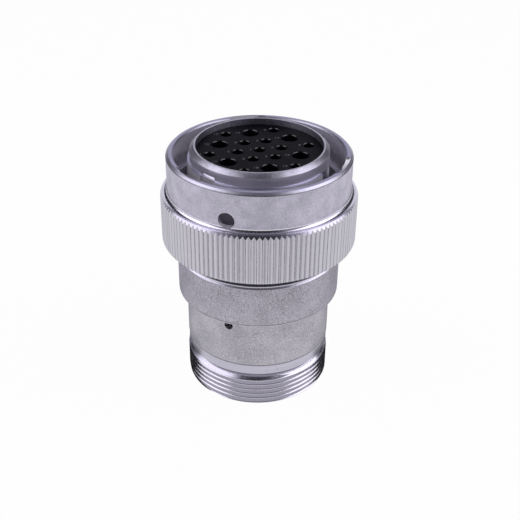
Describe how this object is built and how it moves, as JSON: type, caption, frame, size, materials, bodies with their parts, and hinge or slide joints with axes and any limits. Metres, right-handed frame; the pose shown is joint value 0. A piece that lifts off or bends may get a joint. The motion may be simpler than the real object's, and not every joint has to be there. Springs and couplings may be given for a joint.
{
  "type": "circular electrical connector",
  "caption": "Round metal cable plug with a knurled bayonet coupling ring, keyed barrel, black insert with socket contacts and a rear accessory thread.",
  "frame": {"origin": "centre of the rear face, which the plug stands on", "axes": "+Z along the plug's axis to the mating face, -Y to the viewer's side, +X to the right"},
  "size_m": [0.0476, 0.0476, 0.0637],
  "materials": {
    "ring_metal": "nickel-plated, bead-blasted band, turned knurl",
    "shell_metal": "nickel-plated, blasted",
    "endbell_metal": "nickel-plated, blasted wall and turned thread",
    "spring_steel": "plain spring steel",
    "insert_plastic": "moulded, matte black",
    "rubber": "soft matte rubber",
    "contact_metal": "gold-plated"
  },
  "bodies": {
    "plug": {"plug_shell": "shell_metal", "endbell": "endbell_metal", "wave_washer": "spring_steel", "retaining_ring": "spring_steel", "interface_seal": "rubber", "front_insert": "insert_plastic", "rear_insert": "insert_plastic", "grommet": "rubber", "grommet_follower": "endbell_metal", "signal_contact_01": "contact_metal", "signal_contact_02": "contact_metal", "signal_contact_03": "contact_metal", "signal_contact_04": "contact_metal", "signal_contact_05": "contact_metal", "signal_contact_06": "contact_metal", "signal_contact_07": "contact_metal", "signal_contact_08": "contact_metal", "signal_contact_09": "contact_metal", "signal_contact_10": "contact_metal", "signal_contact_11": "contact_metal", "signal_contact_12": "contact_metal", "signal_contact_13": "contact_metal", "power_contact_01": "contact_metal", "power_contact_02": "contact_metal", "power_contact_03": "contact_metal", "power_contact_04": "contact_metal", "power_contact_05": "contact_metal", "power_contact_06": "contact_metal"},
    "washer": {"thrust_washer": "spring_steel"},
    "ring": {"coupling_ring": "ring_metal"}
  },
  "joints": [
    {"name": "ring_float", "type": "slide", "parent": "plug", "child": "washer", "axis": [0, 0, 1], "range_m": [0, 0.0008], "stiffness_N_per_m": 8000, "springref_m": -0.001, "deforming": ["wave_washer"]},
    {"name": "ring_turn", "type": "hinge", "parent": "washer", "child": "ring", "pos_m": [0, 0, 0.04165], "axis": [0, 0, 1], "continuous": true}
  ]
}
